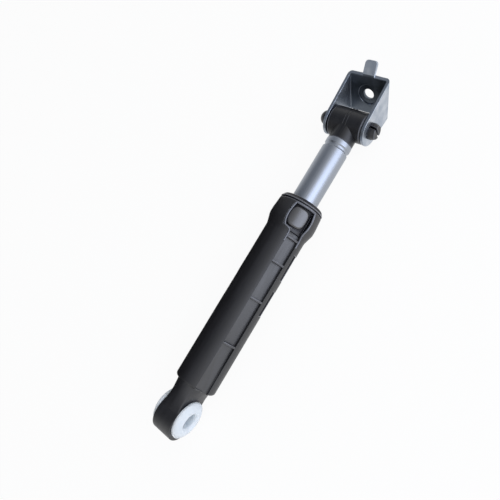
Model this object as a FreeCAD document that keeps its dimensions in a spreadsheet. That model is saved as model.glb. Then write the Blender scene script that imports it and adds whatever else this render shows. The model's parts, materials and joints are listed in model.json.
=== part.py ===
"""Telescopic friction damper for a washing machine's drum, as a parametric FreeCAD document.

The damper lies along X. The origin is the centre of its lower eye, +X runs to the bracket, +Z is up,
and the eye and the bracket's pin are both along Y. Angles round the damper's axis are counted from
+Z towards -Y. All lengths are in millimetres.
"""
import FreeCAD, Part
import Sketcher
import math
import os

SIZES = {
    # Lower eye and its two bush halves
    "eye_radius": 12.7,
    "eye_width": 15.0,
    "eye_drop": 2.4,
    "eye_bore_radius": 5.1,
    "bush_radius": 10.0,
    "bush_play": 0.1,
    "bush_flange_inset": 0.2,
    "bush_rim": 1.5,
    "bush_dome": 2.4,
    "bush_dome_bulge": 0.6,
    "bush_lead_in": 1.5,
    "bush_split": 0.2,
    # Moulded housing: bore, rails, pockets and ribs
    "bore_radius": 9.7,
    "bore_floor": 24.0,
    "neck_start": 2.0,
    "neck_waist": 13.0,
    "neck_inset": 0.1,
    "neck_drop": 0.7,
    "neck_step": 0.25,
    "neck_side_step": 3.0,
    "body_start": 20.0,
    "body_radius": 14.0,
    "body_end_round": 2.0,
    "pocket_floor": 11.0,
    "pocket_turn": 54.5,
    "pocket_half_width": 4.6,
    "rib_thickness": 1.4,
    "rib_low": 53.4,
    "rib_middle": 85.5,
    "rib_high": 112.0,
    "rib_top": 129.9,
    "side_turn": 108.0,
    "side_half_width": 4.2,
    "side_low_start": 78.0,
    "side_low_end": 95.5,
    "side_high_start": 104.0,
    "side_high_end": 122.0,
    # Head of the housing
    "flare_start": 132.5,
    "head_start": 139.5,
    "head_end": 143.5,
    "head_flare": 2.0,
    "head_round": 7.0,
    "mouth_x": 151.9,
    "mouth_taper": 0.7,
    "shoulder_x": 133.6,
    "chamber_wall": 0.8,
    "window_start": 135.4,
    "window_end": 150.5,
    "window_half_width": 7.4,
    "window_turn": 41.0,
    "window_bow": 1.2,
    # End cap with its two latch buttons
    "cap_flange": 3.6,
    "cap_groove": 0.8,
    "cap_groove_depth": 0.9,
    "cap_land": 0.6,
    "cap_taper": 1.6,
    "cap_plate": 1.6,
    "skirt_play": 0.1,
    "skirt_wall": 1.3,
    "button_turn": 35.0,
    "button_x": 142.9,
    "button_radius": 6.5,
    "button_rise": 2.1,
    "button_round": 1.3,
    "latch_gap": 0.4,
    "latch_slot": 0.6,
    "cap_rod_gap": 0.3,
    # Friction pack on the rod
    "support_ring": 2.0,
    "support_gap": 0.1,
    "lining_gap": 0.05,
    "lining_play": 0.1,
    # Rod and its guide
    "rod_radius": 9.0,
    "rod_wall": 1.2,
    "rod_head_reach": 15.0,
    "crimp_offset": 5.0,
    "crimp_width": 1.5,
    "crimp_slope": 0.8,
    "crimp_depth": 0.75,
    "guide_flange": 4.0,
    "guide_play": 0.1,
    "guide_plug": 9.0,
    "guide_plug_wall": 1.6,
    "plug_gap": 0.05,
    # Travel from the modelled position
    "closing_travel": 51.7,
    "opening_travel": 36.5,
    "stop_gap": 0.5,
    # Rod head and its pivot
    "rod_eye_radius": 10.2,
    "ear_gap": 0.5,
    "rod_plug": 16.0,
    "rod_neck_radius": 8.8,
    "rod_eye_chamfer": 0.9,
    "pivot_bush_radius": 7.4,
    "pivot_bush_play": 0.05,
    "pin_radius": 4.7,
    "pin_running_gap": 0.05,
    "pin_hole_play": 0.1,
    "pin_head_radius": 5.2,
    "pin_head_height": 7.4,
    "pin_head_rim": 2.5,
    "pin_head_flat": 1.2,
    "pin_head_bulge": 1.1,
    "pin_snap_radius": 5.5,
    "pin_snap_length": 4.6,
    "pin_snap_tip_radius": 4.5,
    "pin_snap_land": 1.8,
    "pin_slot_width": 1.6,
    "pin_slot_depth": 8.0,
    # Folded bracket
    "sheet": 2.0,
    "bracket_width": 30.5,
    "ear_radius": 10.3,
    "ear_top_angle": 4.9,
    "ear_bottom_angle": 6.0,
    "web_distance": 25.6,
    "web_tilt": 22.5,
    "bend_radius": 0.9,
    "web_hole_radius": 3.7,
    "emboss_radius": 8.2,
    "emboss_depth": 0.8,
    "tab_width": 8.5,
    "tab_length": 8.4,
    "tab_lean": 50.0,
    "tab_root": 3.6,
    "tab_round": 2.2,
}

RIBS = ["rib_low", "rib_middle", "rib_high", "rib_top"]
SIDE_POCKETS = ["side_low", "side_high"]
OPPOSITE = 180.0
NEAR = 1e-3
PARALLEL = 0.999
NOTHING = 1e-6


class Size:
    """A number together with the spreadsheet expression that gives it."""

    def __init__(self, number, text):
        self.number = number
        self.text = text

    def __add__(self, other):
        other = as_size(other)
        return Size(self.number + other.number, "(%s + %s)" % (self.text, other.text))

    def __radd__(self, other):
        return as_size(other) + self

    def __sub__(self, other):
        other = as_size(other)
        return Size(self.number - other.number, "(%s - %s)" % (self.text, other.text))

    def __rsub__(self, other):
        return as_size(other) - self

    def __mul__(self, other):
        other = as_size(other)
        return Size(self.number * other.number, "(%s * %s)" % (self.text, other.text))

    def __rmul__(self, other):
        return as_size(other) * self

    def __truediv__(self, other):
        other = as_size(other)
        return Size(self.number / other.number, "(%s / %s)" % (self.text, other.text))

    def __neg__(self):
        return as_size(0.0) - self


def as_size(value):
    """Give a plain number the same form as a size from the sheet."""
    if isinstance(value, Size):
        return value
    return Size(float(value), "%.6g" % value)


def cosine(angle):
    """The cosine of an angle in degrees."""
    return Size(math.cos(math.radians(angle.number)), "cos(%s)" % angle.text)


def sine(angle):
    """The sine of an angle in degrees."""
    return Size(math.sin(math.radians(angle.number)), "sin(%s)" % angle.text)


def bind(feature, name, size):
    """Tie a property of a feature to the sheet."""
    size = as_size(size)
    feature.setExpression(name, size.text)


doc = FreeCAD.newDocument("Damper")
sheet = doc.addObject("Spreadsheet::Sheet", "Sizes")
size = {}
for row, (alias, value) in enumerate(SIZES.items(), start=1):
    sheet.set("A%d" % row, alias)
    sheet.set("B%d" % row, str(value))
    sheet.setAlias("B%d" % row, alias)
    size[alias] = Size(value, "Sizes.%s" % alias)
doc.recompute()


def new_body(label, x=None):
    """Start a sub-part, placed at x along the damper."""
    body = doc.addObject("PartDesign::Body", label)
    body.Label = label
    if x is not None:
        bind(body, "Placement.Base.x", x)
    return body


def new_sketch(body, name, role, turn=None, along=None, shift=None, lift=None):
    """Start a sketch on one of the body's planes, turned about its x, moved along its x and y and lifted."""
    sketch = body.newObject("Sketcher::SketchObject", name)
    plane = [feature for feature in body.Origin.OriginFeatures if feature.Role == role][0]
    sketch.AttachmentSupport = [(plane, "")]
    sketch.MapMode = "FlatFace"
    if turn is not None:
        turn = as_size(turn)
        about_x = FreeCAD.Rotation(FreeCAD.Vector(1, 0, 0), turn.number)
        sketch.AttachmentOffset = FreeCAD.Placement(FreeCAD.Vector(), about_x)
        bind(sketch, "AttachmentOffset.Rotation.Angle", turn)
    if along is not None:
        bind(sketch, "AttachmentOffset.Base.x", along)
    if shift is not None:
        bind(sketch, "AttachmentOffset.Base.y", shift)
    if lift is not None:
        bind(sketch, "AttachmentOffset.Base.z", lift)
    return sketch


def datum(sketch, kind, places, wanted):
    """Add a dimension to a sketch and tie it to the sheet."""
    wanted = as_size(wanted)
    index = sketch.addConstraint(Sketcher.Constraint(kind, *places, wanted.number))
    sketch.setExpression("Constraints[%d]" % index, wanted.text)


def draw_outline(sketch, corners):
    """Draw a closed outline. A corner is (x, y), or (x, y, rise) where an arc runs on to the next corner.

    The arc's rise is how far it bulges from its chord, to the left of the way along the outline.
    """
    corners = [tuple(as_size(value) for value in corner) for corner in corners]
    ends = []
    for index, corner in enumerate(corners):
        following = corners[(index + 1) % len(corners)]
        start = FreeCAD.Vector(corner[0].number, corner[1].number, 0)
        finish = FreeCAD.Vector(following[0].number, following[1].number, 0)
        if len(corner) == 2:
            piece = sketch.addGeometry(Part.LineSegment(start, finish))
            ends.append((piece, 1, 2))
            continue
        across = following[0] - corner[0]
        along = following[1] - corner[1]
        rise = corner[2]
        left = FreeCAD.Vector(-along.number, across.number, 0).normalize()
        middle = (start + finish) * 0.5 + left * rise.number
        piece = sketch.addGeometry(Part.Arc(start, middle, finish))
        clockwise = rise.number > 0
        ends.append((piece, 2, 1) if clockwise else (piece, 1, 2))
        radius = ((across * across + along * along) / 4 + rise * rise) / (2 * rise)
        datum(sketch, "Radius", (piece,), radius if clockwise else -radius)
    for index, corner in enumerate(corners):
        piece, first, last = ends[index]
        next_piece, next_first, next_last = ends[(index + 1) % len(ends)]
        sketch.addConstraint(Sketcher.Constraint("Coincident", piece, last, next_piece, next_first))
        datum(sketch, "DistanceX", (-1, 1, piece, first), corner[0])
        datum(sketch, "DistanceY", (-1, 1, piece, first), corner[1])


def draw_circle(sketch, radius, x=0):
    """Draw a circle centred on the sketch's x axis."""
    x = as_size(x)
    ring = Part.Circle(FreeCAD.Vector(x.number, 0, 0), FreeCAD.Vector(0, 0, 1), radius.number)
    piece = sketch.addGeometry(ring)
    sketch.addConstraint(Sketcher.Constraint("PointOnObject", piece, 3, -1))
    datum(sketch, "DistanceX", (-1, 1, piece, 3), x)
    datum(sketch, "Radius", (piece,), radius)


def draw_rounded(sketch, half_width, half_height, corner):
    """Draw four bowed sides round the origin, whose corners lie at a share of the half sizes."""
    right = half_width * corner
    top = half_height * corner
    side_bow = right - half_width
    top_bow = top - half_height
    draw_outline(sketch, [
        (right, -top, side_bow),
        (right, top, top_bow),
        (-right, top, side_bow),
        (-right, -top, top_bow),
    ])


def rectangle(low_x, high_x, low_y, high_y):
    """The corners of an upright rectangle."""
    return [(low_x, low_y), (high_x, low_y), (high_x, high_y), (low_x, high_y)]


def finish_feature(body, feature):
    """Make a feature the body's end, and stop if it cut or added nothing."""
    before = feature.BaseFeature.Shape.Volume if feature.BaseFeature else 0.0
    body.Tip = feature
    doc.recompute()
    if abs(feature.Shape.Volume - before) < NOTHING:
        raise ValueError("%s of %s changes nothing" % (feature.Name, body.Label))
    return feature


def sweep_round(body, kind, sketch, axis, angle=None):
    """Revolve or groove a sketch about one of its own axes."""
    feature = body.newObject("PartDesign::" + kind, sketch.Name + "Turn")
    feature.Profile = sketch
    feature.ReferenceAxis = (sketch, [axis])
    feature.Angle = 360.0
    if angle is not None:
        bind(feature, "Angle", angle)
        feature.Midplane = True
    return finish_feature(body, feature)


def extrude(body, kind, sketch, length, symmetric=True, backwards=False):
    """Pad or pocket a sketch, to both sides of its plane or to one."""
    feature = body.newObject("PartDesign::" + kind, sketch.Name + kind)
    feature.Profile = sketch
    feature.SideType = "Symmetric" if symmetric else "One side"
    feature.Reversed = backwards
    bind(feature, "Length", length)
    return finish_feature(body, feature)


def blend(body, sketches):
    """Add a smooth body through a row of sections."""
    feature = body.newObject("PartDesign::AdditiveLoft", sketches[0].Name + "Blend")
    feature.Profile = sketches[0]
    feature.Sections = sketches[1:]
    return finish_feature(body, feature)


def round_edges(body, name, radius, wanted):
    """Fillet the edges of the body's end for which wanted(edge) is true."""
    base = body.Tip
    edges = ["Edge%d" % count for count, edge in enumerate(base.Shape.Edges, start=1) if wanted(edge)]
    feature = body.newObject("PartDesign::Fillet", name)
    feature.Base = (base, edges)
    bind(feature, "Radius", radius)
    return finish_feature(body, feature)


def is_ring_at(edge, x):
    """Tell whether an edge is a full circle round the damper's axis at x."""
    on_axis = isinstance(edge.Curve, Part.Circle) and abs(edge.Curve.Axis.x) > PARALLEL
    return on_axis and abs(edge.Curve.Center.x - x.number) < NEAR


def lies_round(edge, radius):
    """Tell whether an edge keeps to a distance from the damper's axis."""
    middle = (edge.FirstParameter + edge.LastParameter) / 2
    places = [edge.valueAt(parameter) for parameter in (edge.FirstParameter, middle, edge.LastParameter)]
    return all(abs(math.hypot(place.y, place.z) - radius.number) < NEAR for place in places)


def runs_along(edge, direction):
    """Tell whether an edge is straight along a direction."""
    return isinstance(edge.Curve, Part.Line) and abs(edge.Curve.Direction.dot(direction)) > PARALLEL


cap_top = size["mouth_x"] + size["cap_flange"]
pin_x = cap_top + size["stop_gap"] + size["closing_travel"] + size["rod_eye_radius"]
rod_top = pin_x - size["rod_head_reach"]
rod_inner_end = size["shoulder_x"] - size["opening_travel"] - size["stop_gap"]
rod_bore = size["rod_radius"] - size["rod_wall"]
head_radius = size["body_radius"] + size["head_flare"]
mouth_radius = head_radius - size["mouth_taper"]
chamber_radius = size["body_radius"] - size["chamber_wall"]
skirt_radius = chamber_radius - size["skirt_play"]
skirt_bore = skirt_radius - size["skirt_wall"]
skirt_start = size["shoulder_x"] + size["support_ring"] + size["support_gap"]
half_eye = size["eye_width"] / 2
half_bracket = size["bracket_width"] / 2
half_rod_eye = half_bracket - size["sheet"] - size["ear_gap"]
flange_radius = size["eye_radius"] - size["bush_flange_inset"]
OUTWARDS = 60.0
PAST = 1.0
SQUARISH = 0.97
BOWED = 0.85
ROUND = 0.7071


def cut_pockets(body, name, turn, spans, half_width):
    """Cut a row of flat-floored pockets into the housing, facing a direction and the one opposite."""
    for side, facing in (("Front", turn), ("Back", turn + OPPOSITE)):
        floor = size["pocket_floor"]
        pockets = new_sketch(body, side + name, "XY_Plane", turn=facing,
                             shift=-floor * sine(facing), lift=floor * cosine(facing))
        for start, end in spans:
            draw_outline(pockets, rectangle(start, end, -half_width, half_width))
        extrude(body, "Pocket", pockets, OUTWARDS, symmetric=False, backwards=True)


def make_housing():
    """The moulded housing: an eye, a railed body with rows of pockets, and a flared head with two windows."""
    body = new_body("housing")
    envelope = new_sketch(body, "Envelope", "XZ_Plane")
    draw_outline(envelope, [
        (size["body_start"], 0),
        (size["mouth_x"], 0),
        (size["mouth_x"], mouth_radius),
        (size["head_end"], head_radius),
        (size["head_start"], head_radius),
        (size["flare_start"], size["body_radius"]),
        (size["body_start"], size["body_radius"]),
    ])
    sweep_round(body, "Revolution", envelope, "H_Axis")
    round_edges(body, "HeadRound", size["head_round"],
                lambda edge: is_ring_at(edge, size["head_start"]) or is_ring_at(edge, size["flare_start"]))
    round_edges(body, "BodyEndRound", size["body_end_round"],
                lambda edge: is_ring_at(edge, size["body_start"]))

    half_rib = size["rib_thickness"] / 2
    between_ribs = []
    start = size["body_start"] - PAST
    for rib in RIBS:
        between_ribs.append((start, size[rib] - half_rib))
        start = size[rib] + half_rib
    between_ribs.append((start, size["window_start"] + PAST))
    cut_pockets(body, "Pockets", size["pocket_turn"], between_ribs, size["pocket_half_width"])
    beside = [(size[pocket + "_start"], size[pocket + "_end"]) for pocket in SIDE_POCKETS]
    cut_pockets(body, "SidePockets", size["side_turn"], beside, size["side_half_width"])

    eye = new_sketch(body, "Eye", "XZ_Plane")
    draw_circle(eye, size["eye_radius"], -size["eye_drop"])
    extrude(body, "Pad", eye, size["eye_width"])
    flat_half = half_eye - size["neck_inset"]
    low_height = size["eye_radius"] - size["neck_drop"]
    high_height = size["body_radius"] - size["neck_step"]
    high_half = size["body_radius"] - size["neck_side_step"]
    sections = []
    for name, x, half_width, half_height, corner in (
            ("NeckLow", size["neck_start"], flat_half, low_height, SQUARISH),
            ("NeckWaist", size["neck_waist"], flat_half, (low_height + high_height) / 2, BOWED),
            ("NeckHigh", size["body_start"] + PAST, high_half, high_height, ROUND)):
        section = new_sketch(body, name, "YZ_Plane", lift=x)
        draw_rounded(section, half_width, half_height, corner)
        sections.append(section)
    blend(body, sections)

    bore = new_sketch(body, "Bore", "XZ_Plane")
    draw_outline(bore, [
        (size["bore_floor"], 0),
        (size["mouth_x"] + PAST, 0),
        (size["mouth_x"] + PAST, chamber_radius),
        (size["shoulder_x"], chamber_radius),
        (size["shoulder_x"], size["bore_radius"]),
        (size["bore_floor"], size["bore_radius"]),
    ])
    sweep_round(body, "Groove", bore, "H_Axis")
    half_window = size["window_half_width"]
    window = new_sketch(body, "Window", "XY_Plane", turn=size["window_turn"])
    draw_outline(window, [
        (size["window_start"], -half_window, -size["window_bow"]),
        (size["window_end"], -half_window),
        (size["window_end"], half_window, -size["window_bow"]),
        (size["window_start"], half_window),
    ])
    extrude(body, "Pocket", window, OUTWARDS)
    seat = new_sketch(body, "BushSeat", "XZ_Plane")
    draw_circle(seat, size["bush_radius"] + size["bush_play"])
    extrude(body, "Pocket", seat, OUTWARDS)
    return body


def make_lower_bush(label, side):
    """One half of the lower eye's bush, with a domed flange, on the +Y side (1) or the -Y side (-1)."""
    body = new_body(label)
    rim = half_eye + size["bush_rim"]
    top = rim + size["bush_dome"]
    bore = size["eye_bore_radius"]
    half_split = size["bush_split"] / 2
    profile = new_sketch(body, "Profile", "XY_Plane")
    draw_outline(profile, [
        (bore, half_split * side),
        (size["bush_radius"], half_split * side),
        (size["bush_radius"], half_eye * side),
        (flange_radius, half_eye * side),
        (flange_radius, rim * side, -size["bush_dome_bulge"] * side),
        (bore + size["bush_lead_in"], top * side),
        (bore, (top - size["bush_lead_in"]) * side),
    ])
    sweep_round(body, "Revolution", profile, "V_Axis")
    return body


def make_ring(label, corners, x=None):
    """A piece turned about the damper's axis, from its outline as (x, radius) corners."""
    body = new_body(label, x)
    profile = new_sketch(body, "Profile", "XZ_Plane")
    draw_outline(profile, corners)
    sweep_round(body, "Revolution", profile, "H_Axis")
    return body


def make_support_ring():
    """The ring between the chamber's shoulder and the end cap's skirt."""
    inner = size["rod_radius"] + size["support_gap"]
    end = size["shoulder_x"] + size["support_ring"]
    return make_ring("support_ring", rectangle(size["shoulder_x"], end, inner, skirt_radius))


def make_friction_lining():
    """The greased foam sleeve that grips the rod."""
    inner = size["rod_radius"] + size["lining_gap"]
    outer = skirt_bore - size["lining_play"]
    end = size["mouth_x"] - size["cap_plate"] - size["lining_play"]
    return make_ring("friction_lining", rectangle(skirt_start, end, inner, outer))


def make_end_cap():
    """The cap: a grooved rim on the housing's mouth, and a skirt with two domed latch buttons."""
    rim = mouth_radius
    hole = size["rod_radius"] + size["cap_rod_gap"]
    groove_end = size["mouth_x"] + size["cap_groove"]
    body = make_ring("end_cap", [
        (skirt_start, hole),
        (cap_top, hole),
        (cap_top, rim - size["cap_taper"]),
        (groove_end + size["cap_land"], rim),
        (groove_end, rim),
        (groove_end, rim - size["cap_groove_depth"]),
        (size["mouth_x"], rim - size["cap_groove_depth"]),
        (size["mouth_x"], skirt_radius),
        (skirt_start, skirt_radius),
    ])
    root = skirt_bore - size["skirt_wall"]
    crown = skirt_radius + size["button_rise"]
    slot_end = size["button_x"] + size["button_radius"]
    for name, turn in (("FrontButton", size["button_turn"]), ("BackButton", size["button_turn"] + OPPOSITE)):
        button = new_sketch(body, name, "XY_Plane", turn=turn, along=size["button_x"],
                            shift=-root * sine(turn), lift=root * cosine(turn))
        draw_circle(button, size["button_radius"])
        extrude(body, "Pad", button, crown - root + PAST, symmetric=False)
    crowns = new_sketch(body, "ButtonCrowns", "XZ_Plane")
    button_start = size["button_x"] - size["button_radius"]
    draw_outline(crowns, rectangle(button_start - PAST, slot_end + PAST, crown, 2 * crown))
    sweep_round(body, "Groove", crowns, "H_Axis")
    round_edges(body, "ButtonRound", size["button_round"], lambda edge: lies_round(edge, crown))
    slots = new_sketch(body, "LatchSlots", "XY_Plane", turn=size["button_turn"])
    near = size["button_radius"] + size["latch_gap"]
    far = near + size["latch_slot"]
    draw_outline(slots, rectangle(skirt_start - PAST, slot_end, near, far))
    draw_outline(slots, rectangle(skirt_start - PAST, slot_end, -far, -near))
    extrude(body, "Pocket", slots, OUTWARDS)
    bore = new_sketch(body, "SkirtBore", "XZ_Plane")
    draw_outline(bore, rectangle(skirt_start - PAST, size["mouth_x"] - size["cap_plate"], 0, skirt_bore))
    sweep_round(body, "Groove", bore, "H_Axis")
    return body


def make_guide_ring():
    """The ring that guides the rod's inner end in the barrel, with a plug in the tube."""
    outer = size["bore_radius"] - size["guide_play"]
    plug = rod_bore - size["plug_gap"]
    hole = plug - size["guide_plug_wall"]
    return make_ring("guide_ring", [
        (-size["guide_flange"], hole),
        (size["guide_plug"], hole),
        (size["guide_plug"], plug),
        (0, plug),
        (0, outer),
        (-size["guide_flange"], outer),
    ], rod_inner_end)


def crimp_stations():
    """Where the rolled crimp near the rod's outer end starts, is deepest, and ends."""
    start = rod_top - size["crimp_offset"] - size["crimp_width"] / 2 - size["crimp_slope"]
    return [start, start + size["crimp_slope"], start + size["crimp_slope"] + size["crimp_width"],
            start + 2 * size["crimp_slope"] + size["crimp_width"]]


def make_rod_tube():
    """The chromed tube, with a crimp rolled into it that holds the rod head's plug."""
    outer = size["rod_radius"]
    depth = size["crimp_depth"]
    first, second, third, fourth = crimp_stations()
    return make_ring("rod_tube", [
        (rod_inner_end, rod_bore),
        (first, rod_bore),
        (second, rod_bore - depth),
        (third, rod_bore - depth),
        (fourth, rod_bore),
        (rod_top, rod_bore),
        (rod_top, outer),
        (fourth, outer),
        (third, outer - depth),
        (second, outer - depth),
        (first, outer),
        (rod_inner_end, outer),
    ])


def make_rod_head():
    """The moulded cross eye on the rod's end, with a grooved plug in the tube."""
    body = new_body("rod_head", pin_x)
    plug = rod_bore - size["plug_gap"]
    groove = plug - size["crimp_depth"]
    first, second, third, fourth = [station - pin_x for station in crimp_stations()]
    shank = new_sketch(body, "Shank", "XZ_Plane")
    draw_outline(shank, [
        (rod_top - size["rod_plug"] - pin_x, 0),
        (0, 0),
        (0, size["rod_neck_radius"]),
        (-size["rod_head_reach"], size["rod_neck_radius"]),
        (-size["rod_head_reach"], plug),
        (fourth, plug),
        (third, groove),
        (second, groove),
        (first, plug),
        (rod_top - size["rod_plug"] - pin_x, plug),
    ])
    sweep_round(body, "Revolution", shank, "H_Axis")
    chamfer = size["rod_eye_chamfer"]
    eye = new_sketch(body, "CrossEye", "XY_Plane")
    draw_outline(eye, [
        (0, -half_rod_eye),
        (size["rod_eye_radius"] - chamfer, -half_rod_eye),
        (size["rod_eye_radius"], chamfer - half_rod_eye),
        (size["rod_eye_radius"], half_rod_eye - chamfer),
        (size["rod_eye_radius"] - chamfer, half_rod_eye),
        (0, half_rod_eye),
    ])
    sweep_round(body, "Revolution", eye, "V_Axis")
    seat = new_sketch(body, "PivotSeat", "XZ_Plane")
    draw_circle(seat, size["pivot_bush_radius"])
    extrude(body, "Pocket", seat, OUTWARDS)
    return body


def make_pivot_bush():
    """The sleeve between the rod head and the bracket's pin."""
    body = new_body("pivot_bush", pin_x)
    profile = new_sketch(body, "Profile", "XY_Plane")
    inner = size["pin_radius"] + size["pin_running_gap"]
    outer = size["pivot_bush_radius"] - size["pivot_bush_play"]
    draw_outline(profile, rectangle(inner, outer, -half_rod_eye, half_rod_eye))
    sweep_round(body, "Revolution", profile, "V_Axis")
    return body


def make_bracket():
    """The bracket folded from sheet: two ears, a tilted web with an embossed hole, and a bent tab."""
    body = new_body("bracket", pin_x)
    tilt = size["web_tilt"]
    top = size["ear_top_angle"]
    bottom = size["ear_bottom_angle"]
    ear = size["ear_radius"]
    reach = size["web_distance"]
    top_touch = (-ear * sine(top), ear * cosine(top))
    bottom_touch = (-ear * sine(bottom), -ear * cosine(bottom))
    top_short = (reach - top_touch[0]) * cosine(tilt) + top_touch[1] * sine(tilt)
    top_run = top_short / cosine(tilt + top)
    top_corner = (top_touch[0] + top_run * cosine(top), top_touch[1] + top_run * sine(top))
    bottom_short = (reach - bottom_touch[0]) * cosine(tilt) + bottom_touch[1] * sine(tilt)
    bottom_run = bottom_short / cosine(tilt - bottom)
    bottom_corner = (bottom_touch[0] + bottom_run * cosine(bottom),
                     bottom_touch[1] - bottom_run * sine(bottom))
    wrap = ear - ear * sine((top + bottom) / 2)
    outline = new_sketch(body, "EarOutline", "XZ_Plane")
    draw_outline(outline, [
        (bottom_touch[0], bottom_touch[1], wrap),
        top_touch,
        top_corner,
        bottom_corner,
    ])
    extrude(body, "Pad", outline, size["bracket_width"])

    past_ears = 3 * ear
    inner_web = reach - size["sheet"] / cosine(tilt)
    lean = past_ears * sine(tilt) / cosine(tilt)
    gap = new_sketch(body, "Gap", "XZ_Plane")
    draw_outline(gap, [
        (-past_ears, -past_ears),
        (inner_web - lean, -past_ears),
        (inner_web + lean, past_ears),
        (-past_ears, past_ears),
    ])
    extrude(body, "Pocket", gap, size["bracket_width"] - 2 * size["sheet"])
    slope = math.radians(tilt.number)
    up_web = FreeCAD.Vector(math.sin(slope), 0, math.cos(slope))
    outside = half_bracket.number - size["sheet"].number / 2
    round_edges(body, "OuterBend", size["bend_radius"] + size["sheet"],
                lambda edge: runs_along(edge, up_web) and abs(edge.CenterOfMass.y) > outside)
    inside = half_bracket.number - size["sheet"].number
    round_edges(body, "InnerBend", size["bend_radius"],
                lambda edge: runs_along(edge, up_web) and abs(abs(edge.CenterOfMass.y) - inside) < NEAR)

    boss = new_sketch(body, "Emboss", "YZ_Plane", turn=tilt, lift=reach)
    draw_circle(boss, size["emboss_radius"])
    extrude(body, "Pad", boss, size["emboss_depth"], symmetric=False)
    dish = new_sketch(body, "Dish", "YZ_Plane", turn=tilt, shift=size["sheet"] * sine(tilt),
                      lift=reach - size["sheet"] * cosine(tilt))
    draw_circle(dish, size["emboss_radius"] - size["sheet"] / 2)
    extrude(body, "Pocket", dish, size["emboss_depth"], symmetric=False, backwards=True)
    hole = new_sketch(body, "WebHole", "YZ_Plane", turn=tilt, lift=reach)
    draw_circle(hole, size["web_hole_radius"])
    extrude(body, "Pocket", hole, 4 * size["sheet"])

    lean_out = size["tab_lean"]
    root = (top_corner[0] - size["tab_root"] * sine(tilt), top_corner[1] - size["tab_root"] * cosine(tilt))
    tip = (top_corner[0] + size["tab_length"] * sine(lean_out),
           top_corner[1] + size["tab_length"] * cosine(lean_out))
    inner_root = (root[0] - size["sheet"] * cosine(tilt), root[1] + size["sheet"] * sine(tilt))
    inner_tip = (tip[0] - size["sheet"] * cosine(lean_out), tip[1] + size["sheet"] * sine(lean_out))
    bend = (lean_out - tilt) / 2
    setback = size["sheet"] / cosine(bend)
    halfway = (lean_out + tilt) / 2
    inner_bend = (top_corner[0] - setback * cosine(halfway), top_corner[1] + setback * sine(halfway))
    tab = new_sketch(body, "Tab", "XZ_Plane")
    draw_outline(tab, [root, top_corner, tip, inner_tip, inner_bend, inner_root])
    extrude(body, "Pad", tab, size["tab_width"])
    leaning = math.radians(lean_out.number)
    across_tip = FreeCAD.Vector(-math.cos(leaning), 0, math.sin(leaning))
    round_edges(body, "TabRound", size["tab_round"],
                lambda edge: runs_along(edge, across_tip) and edge.CenterOfMass.x > top_corner[0].number)
    holes = new_sketch(body, "PinHoles", "XZ_Plane")
    draw_circle(holes, size["pin_radius"] + size["pin_hole_play"])
    extrude(body, "Pocket", holes, OUTWARDS)
    return body


def make_pivot_pin():
    """The push-in pin: a domed head outside the +Y ear and a slotted snap end outside the -Y ear."""
    body = new_body("pivot_pin", pin_x)
    ear = half_bracket
    snap = -half_bracket - size["pin_hole_play"]
    tip = snap - size["pin_snap_length"]
    head_end = ear + size["pin_head_height"]
    profile = new_sketch(body, "Profile", "XY_Plane")
    draw_outline(profile, [
        (0, tip),
        (size["pin_snap_tip_radius"], tip),
        (size["pin_snap_radius"], snap - size["pin_snap_land"]),
        (size["pin_snap_radius"], snap),
        (size["pin_radius"], snap),
        (size["pin_radius"], ear),
        (size["pin_head_radius"], ear),
        (size["pin_head_radius"], ear + size["pin_head_rim"], -size["pin_head_bulge"]),
        (size["pin_head_flat"], head_end),
        (0, head_end),
    ])
    sweep_round(body, "Revolution", profile, "V_Axis")
    slot = new_sketch(body, "Slot", "XY_Plane")
    half_slot = size["pin_slot_width"] / 2
    draw_outline(slot, rectangle(-half_slot, half_slot, tip - PAST, tip + size["pin_slot_depth"]))
    extrude(body, "Pocket", slot, OUTWARDS)
    return body


parts = [
    make_housing(),
    make_lower_bush("lower_bush_left", 1),
    make_lower_bush("lower_bush_right", -1),
    make_support_ring(),
    make_friction_lining(),
    make_end_cap(),
    make_guide_ring(),
    make_rod_tube(),
    make_rod_head(),
    make_pivot_bush(),
    make_bracket(),
    make_pivot_pin(),
]
doc.recompute()

for item in doc.Objects:
    if "Invalid" in item.State or "Error" in item.State:
        raise ValueError("%s did not compute" % item.Label)
for part in parts:
    if part.Shape.isNull() or not part.Shape.isValid() or len(part.Shape.Solids) != 1:
        raise ValueError("%s is not one valid solid" % part.Label)

os.makedirs("parts", exist_ok=True)
for part in parts:
    box = part.Shape.optimalBoundingBox()
    print("%-17s %9.1f mm3  x %7.2f to %7.2f  y %7.2f to %7.2f  z %7.2f to %7.2f" % (
        part.Label, part.Shape.Volume, box.XMin, box.XMax, box.YMin, box.YMax, box.ZMin, box.ZMax))
    part.Shape.exportStep(os.path.join("parts", part.Label + ".step"))
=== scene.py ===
# %% [markdown]
# # A washing machine damper, dressed in Blender
#
# The damper lies along X: a bushed eye at the origin, a ribbed black housing, a bright rod, and a
# folded bracket on a pin. The exact solids come from the CAD frame. This lesson gives each of them a
# finished surface: rounded edges that catch light, small moulded details, and a material that starts
# from what such a piece is usually made of, because the real one's materials are known only by eye.

# %% Load the frame
import bmesh
import bpy
import json
import math
from mathutils import Matrix, Vector


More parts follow.
